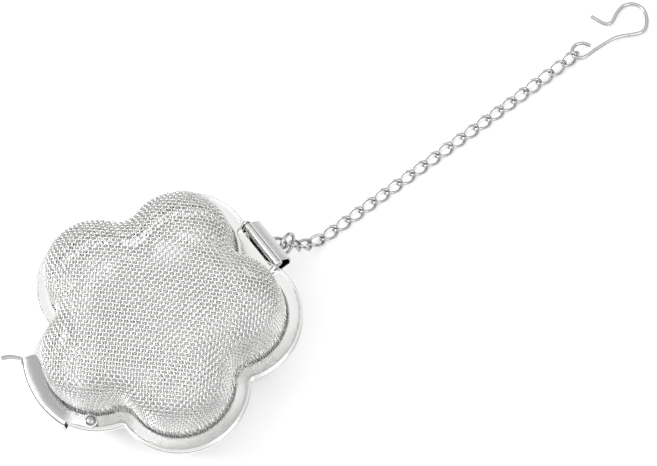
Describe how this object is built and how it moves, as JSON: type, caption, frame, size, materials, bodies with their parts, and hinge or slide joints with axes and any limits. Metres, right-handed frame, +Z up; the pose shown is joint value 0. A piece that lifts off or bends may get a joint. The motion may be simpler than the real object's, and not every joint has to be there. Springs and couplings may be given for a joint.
{
  "type": "tea infuser",
  "caption": "Blossom-shaped woven-mesh tea ball with flat sheet-metal rims, a side hinge, a swinging latch lever, and a chain ending in a wire hook.",
  "frame": {"origin": "middle of the lower dome's flat bottom, on the surface the ball rests on", "axes": "+Z up, square to the rims; +X from the ball's middle through the hinge and along the chain; +Y completes a right-handed frame"},
  "size_m": [0.1807, 0.0662, 0.033],
  "materials": {
    "polished_steel": "polished sheet",
    "woven_steel": "bright drawn wire, plain weave",
    "lever_steel": "polished sheet, slightly darker",
    "bright_wire": "bright drawn wire"
  },
  "bodies": {
    "lower_half": {"lower_rim": "polished_steel", "lower_mesh": "woven_steel", "hinge_bracket": "polished_steel", "hinge_pin": "bright_wire"},
    "upper_half": {"upper_rim": "polished_steel", "upper_mesh": "woven_steel", "hinge_leaf": "polished_steel", "latch_rivet": "bright_wire"},
    "latch": {"latch_lever": "lever_steel"},
    "jump_ring": {"jump_ring": "bright_wire"},
    "chain_link_01": {"chain_link_01": "bright_wire"},
    "chain_link_02": {"chain_link_02": "bright_wire"},
    "chain_link_03": {"chain_link_03": "bright_wire"},
    "chain_link_04": {"chain_link_04": "bright_wire"},
    "chain_link_05": {"chain_link_05": "bright_wire"},
    "chain_link_06": {"chain_link_06": "bright_wire"},
    "chain_link_07": {"chain_link_07": "bright_wire"},
    "chain_link_08": {"chain_link_08": "bright_wire"},
    "chain_link_09": {"chain_link_09": "bright_wire"},
    "chain_link_10": {"chain_link_10": "bright_wire"},
    "chain_link_11": {"chain_link_11": "bright_wire"},
    "chain_link_12": {"chain_link_12": "bright_wire"},
    "chain_link_13": {"chain_link_13": "bright_wire"},
    "chain_link_14": {"chain_link_14": "bright_wire"},
    "chain_link_15": {"chain_link_15": "bright_wire"},
    "chain_link_16": {"chain_link_16": "bright_wire"},
    "chain_link_17": {"chain_link_17": "bright_wire"},
    "chain_link_18": {"chain_link_18": "bright_wire"},
    "chain_link_19": {"chain_link_19": "bright_wire"},
    "chain_link_20": {"chain_link_20": "bright_wire"},
    "chain_link_21": {"chain_link_21": "bright_wire"},
    "chain_link_22": {"chain_link_22": "bright_wire"},
    "chain_link_23": {"chain_link_23": "bright_wire"},
    "cup_hook": {"cup_hook": "bright_wire"}
  },
  "joints": [
    {"name": "lid_hinge", "type": "hinge", "parent": "lower_half", "child": "upper_half", "pos_m": [0.0302, 0, 0.01915], "axis": [0, 1, 0], "range_deg": [0, 120]},
    {"name": "latch_pivot", "type": "hinge", "parent": "upper_half", "child": "latch", "pos_m": [-0.02739, -0.01078, 0.01818], "axis": [0, 0, 1], "range_deg": [0, 65]},
    {"name": "ring_swing", "type": "hinge", "parent": "lower_half", "child": "jump_ring", "pos_m": [0.0351, 0, 0.01317], "axis": [0, 1, 0], "range_deg": [-10, 0]},
    {"name": "link_01_swing", "type": "hinge", "parent": "jump_ring", "child": "chain_link_01", "pos_m": [0.03704, 0, 0.00883], "axis": [0.891, 0, 0.454], "range_deg": [-15, 15]},
    {"name": "link_02_swing", "type": "hinge", "parent": "chain_link_01", "child": "chain_link_02", "pos_m": [0.039, 0, 0.00543], "axis": [0, -1, 0], "range_deg": [-15, 15]},
    {"name": "link_03_swing", "type": "hinge", "parent": "chain_link_02", "child": "chain_link_03", "pos_m": [0.04173, 0, 0.0026], "axis": [-0.5807, 0, -0.8141], "range_deg": [-12, 12]},
    {"name": "link_04_swing", "type": "hinge", "parent": "chain_link_03", "child": "chain_link_04", "pos_m": [0.04529, 0, 0.00094], "axis": [0, 1, 0], "range_deg": [-11, 15]},
    {"name": "link_05_swing", "type": "hinge", "parent": "chain_link_04", "child": "chain_link_05", "pos_m": [0.04922, 0, 0.00094], "axis": [0, 0, 1], "range_deg": [-15, 15]},
    {"name": "link_06_swing", "type": "hinge", "parent": "chain_link_05", "child": "chain_link_06", "pos_m": [0.05315, 0, 0.00094], "axis": [0, -1, 0], "range_deg": [-15, 15]},
    {"name": "link_07_swing", "type": "hinge", "parent": "chain_link_06", "child": "chain_link_07", "pos_m": [0.05708, 0, 0.00094], "axis": [0, 0, -1], "range_deg": [-15, 15]},
    {"name": "link_08_swing", "type": "hinge", "parent": "chain_link_07", "child": "chain_link_08", "pos_m": [0.06101, 0, 0.00094], "axis": [0, 1, 0], "range_deg": [-15, 15]},
    {"name": "link_09_swing", "type": "hinge", "parent": "chain_link_08", "child": "chain_link_09", "pos_m": [0.06494, 0, 0.00094], "axis": [0, 0, 1], "range_deg": [-15, 15]},
    {"name": "link_10_swing", "type": "hinge", "parent": "chain_link_09", "child": "chain_link_10", "pos_m": [0.06887, 0, 0.00094], "axis": [0, -1, 0], "range_deg": [-15, 15]},
    {"name": "link_11_swing", "type": "hinge", "parent": "chain_link_10", "child": "chain_link_11", "pos_m": [0.0728, 0, 0.00094], "axis": [0, 0, -1], "range_deg": [-15, 15]},
    {"name": "link_12_swing", "type": "hinge", "parent": "chain_link_11", "child": "chain_link_12", "pos_m": [0.07673, 0, 0.00094], "axis": [0, 1, 0], "range_deg": [-15, 15]},
    {"name": "link_13_swing", "type": "hinge", "parent": "chain_link_12", "child": "chain_link_13", "pos_m": [0.08066, 0, 0.00094], "axis": [0, 0, 1], "range_deg": [-15, 15]},
    {"name": "link_14_swing", "type": "hinge", "parent": "chain_link_13", "child": "chain_link_14", "pos_m": [0.08459, 0, 0.00094], "axis": [0, -1, 0], "range_deg": [-15, 15]},
    {"name": "link_15_swing", "type": "hinge", "parent": "chain_link_14", "child": "chain_link_15", "pos_m": [0.08852, 0, 0.00094], "axis": [0, 0, -1], "range_deg": [-15, 15]},
    {"name": "link_16_swing", "type": "hinge", "parent": "chain_link_15", "child": "chain_link_16", "pos_m": [0.09245, 0, 0.00094], "axis": [0, 1, 0], "range_deg": [-15, 15]},
    {"name": "link_17_swing", "type": "hinge", "parent": "chain_link_16", "child": "chain_link_17", "pos_m": [0.09638, 0, 0.00094], "axis": [0, 0, 1], "range_deg": [-15, 15]},
    {"name": "link_18_swing", "type": "hinge", "parent": "chain_link_17", "child": "chain_link_18", "pos_m": [0.10031, 0, 0.00094], "axis": [0, -1, 0], "range_deg": [-15, 15]},
    {"name": "link_19_swing", "type": "hinge", "parent": "chain_link_18", "child": "chain_link_19", "pos_m": [0.10424, 0, 0.00094], "axis": [0.0262, 0, -0.9997], "range_deg": [-15, 15]},
    {"name": "link_20_swing", "type": "hinge", "parent": "chain_link_19", "child": "chain_link_20", "pos_m": [0.10817, 0, 0.00115], "axis": [0, 1, 0], "range_deg": [-15, 15]},
    {"name": "link_21_swing", "type": "hinge", "parent": "chain_link_20", "child": "chain_link_21", "pos_m": [0.11209, 0, 0.00135], "axis": [-0.0523, 0, 0.9986], "range_deg": [-15, 15]},
    {"name": "link_22_swing", "type": "hinge", "parent": "chain_link_21", "child": "chain_link_22", "pos_m": [0.11602, 0, 0.00156], "axis": [0, -1, 0], "range_deg": [-15, 15]},
    {"name": "link_23_swing", "type": "hinge", "parent": "chain_link_22", "child": "chain_link_23", "pos_m": [0.11994, 0, 0.0017], "axis": [0.0262, 0, -0.9997], "range_deg": [-15, 15]},
    {"name": "hook_swing", "type": "hinge", "parent": "chain_link_23", "child": "cup_hook", "pos_m": [0.12387, 0, 0.00177], "axis": [0, 1, 0], "range_deg": [-15, 15]}
  ]
}
